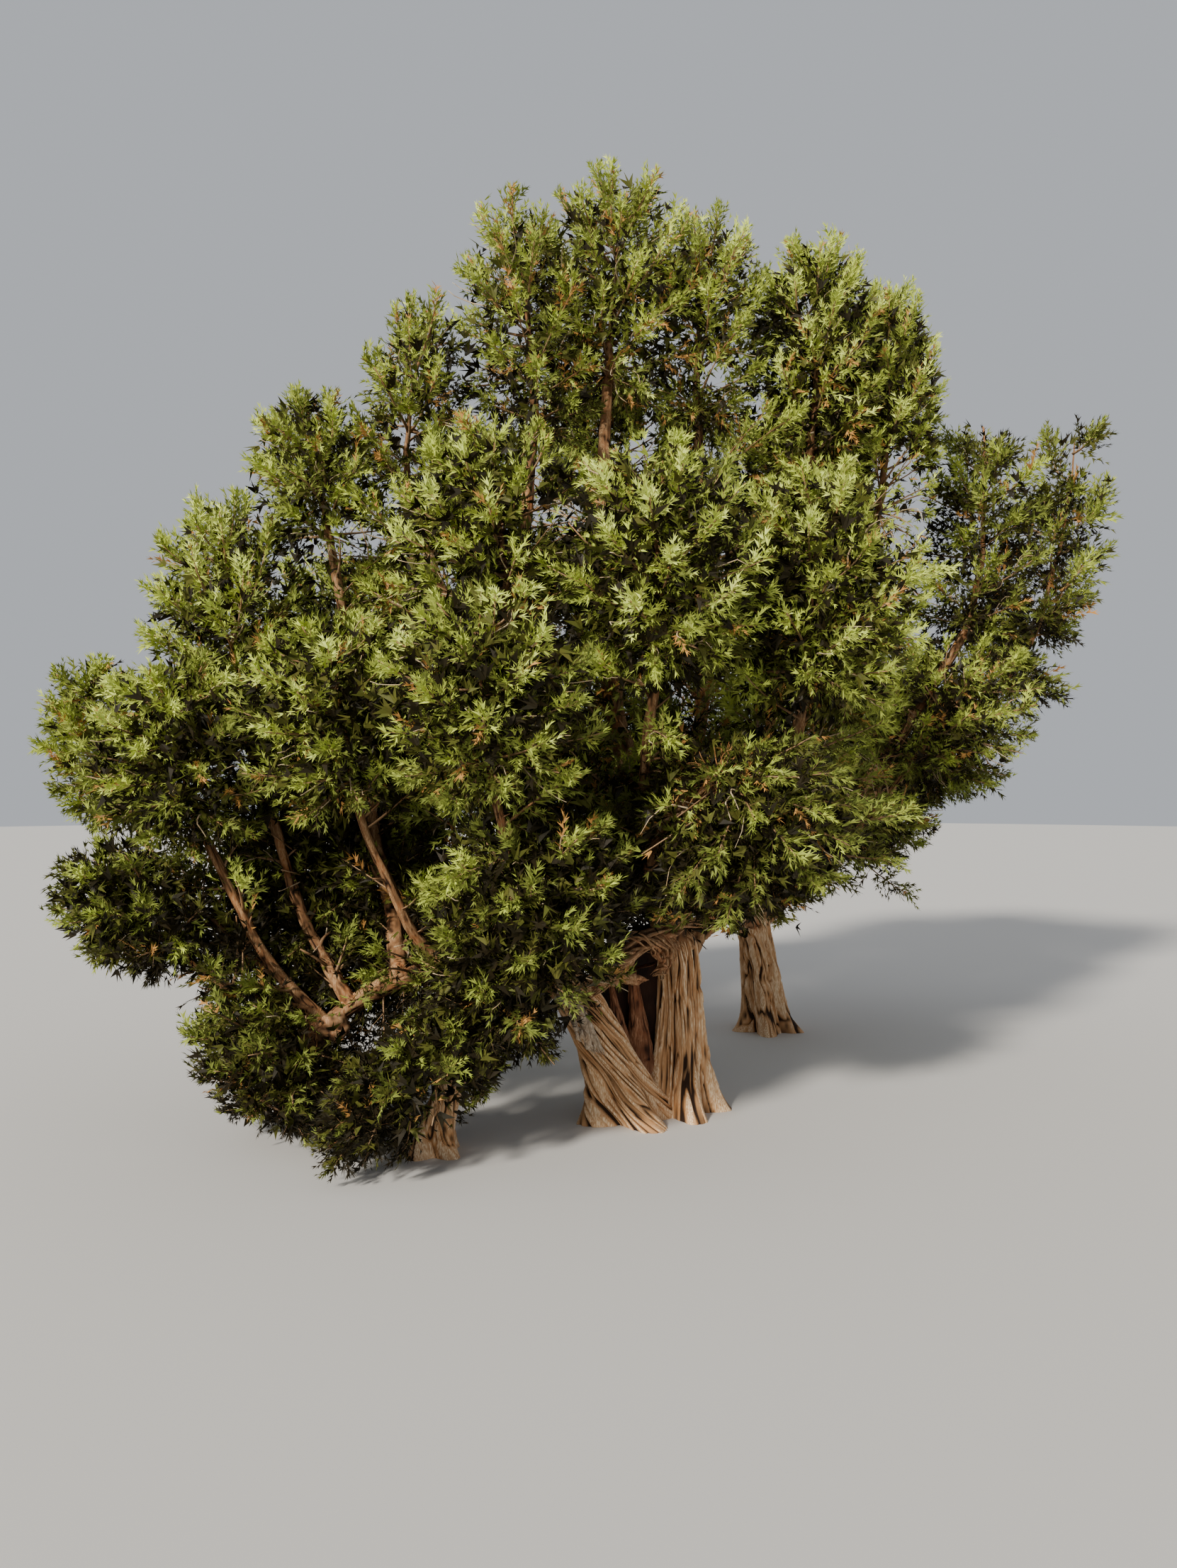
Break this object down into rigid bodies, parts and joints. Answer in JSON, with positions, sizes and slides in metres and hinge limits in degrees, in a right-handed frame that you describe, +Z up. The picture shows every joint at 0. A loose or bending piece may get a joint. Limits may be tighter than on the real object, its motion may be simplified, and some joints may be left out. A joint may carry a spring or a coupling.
{
  "type": "juniper tree",
  "caption": "Old juniper clump: leaning, flared trunks from one root carry tapering boughs and a broad, uneven crown of dense, flame-shaped foliage.",
  "frame": {"origin": "on the level ground under the main trunk, between its two stems, on the flat cut under them", "axes": "+Z up, +X to the right and +Y away in the view that the picture shows, so the front faces -Y"},
  "size_m": [9.5551, 7.5018, 7.9708],
  "materials": {
    "trunk_bark": "matt, furrowed and stringy",
    "bough_bark": "matt, scaly",
    "foliage": "matt to slightly waxy"
  },
  "bodies": {
    "root": {"main_trunk": "trunk_bark", "right_trunk": "trunk_bark", "left_trunk": "trunk_bark", "arch_bough": "bough_bark", "back_centre_high_bough": "bough_bark", "back_left_bough": "bough_bark", "back_low_bough": "bough_bark", "back_right_high_bough": "bough_bark", "back_right_low_bough": "bough_bark", "centre_high_bough": "bough_bark", "far_left_bough": "bough_bark", "far_right_inner_bough": "bough_bark", "far_right_outer_bough": "bough_bark", "front_centre_bough": "bough_bark", "front_left_bough": "bough_bark", "front_right_bough": "bough_bark", "front_right_low_bough": "bough_bark", "inner_left_bough": "bough_bark", "left_high_bough": "bough_bark", "left_low_bough": "bough_bark", "left_mid_bough": "bough_bark", "left_shoulder_bough": "bough_bark", "low_left_bough": "bough_bark", "mid_left_bough": "bough_bark", "reclining_bough": "bough_bark", "right_crest_bough": "bough_bark", "right_low_bough": "bough_bark", "right_shoulder_bough": "bough_bark", "top_centre_bough": "bough_bark", "top_left_bough": "bough_bark", "top_right_bough": "bough_bark", "back_centre_high_foliage": "foliage", "back_left_foliage": "foliage", "back_low_foliage": "foliage", "back_right_high_foliage": "foliage", "back_right_low_foliage": "foliage", "centre_high_foliage": "foliage", "far_left_foliage": "foliage", "far_right_inner_foliage": "foliage", "far_right_outer_foliage": "foliage", "front_centre_foliage": "foliage", "front_left_foliage": "foliage", "front_low_foliage": "foliage", "front_right_foliage": "foliage", "front_right_low_foliage": "foliage", "inner_left_foliage": "foliage", "left_high_foliage": "foliage", "left_low_foliage": "foliage", "left_mid_foliage": "foliage", "left_shoulder_foliage": "foliage", "left_skirt_foliage": "foliage", "low_left_foliage": "foliage", "mid_left_foliage": "foliage", "reclining_foliage": "foliage", "right_crest_foliage": "foliage", "right_low_foliage": "foliage", "right_shoulder_foliage": "foliage", "top_centre_foliage": "foliage", "top_left_foliage": "foliage", "top_right_foliage": "foliage"}
  },
  "joints": []
}
